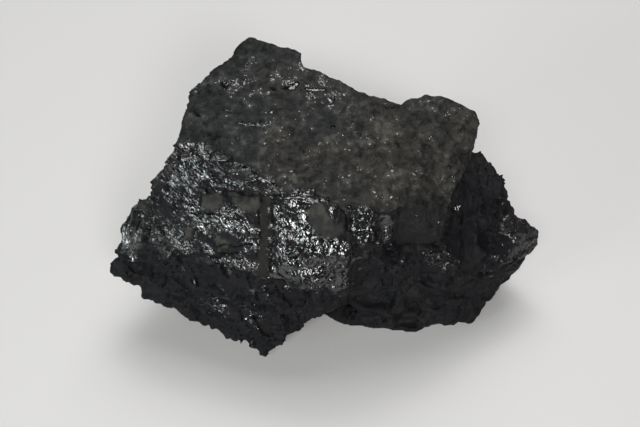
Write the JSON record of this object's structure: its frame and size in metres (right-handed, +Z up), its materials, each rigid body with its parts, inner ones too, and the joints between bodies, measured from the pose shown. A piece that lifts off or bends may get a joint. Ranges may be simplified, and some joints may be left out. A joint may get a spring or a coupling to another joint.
{
  "type": "coal lump",
  "caption": "Broken lump of bituminous coal: level dull top, glossy chipped slope, layered upright sides that overhang, and a flat underside to rest on.",
  "frame": {"origin": "middle of the lump's box, on the flat bedding face that it rests on", "axes": "+Z up, square to the bedding; +X along the lump's length, towards its pointed tip; -Y towards the glossy slope"},
  "size_m": [0.1186, 0.0762, 0.0547],
  "materials": {
    "coal": "black, glassy on broken faces and dull on bedding faces"
  },
  "bodies": {
    "root": {"coal_lump": "coal"}
  },
  "joints": []
}
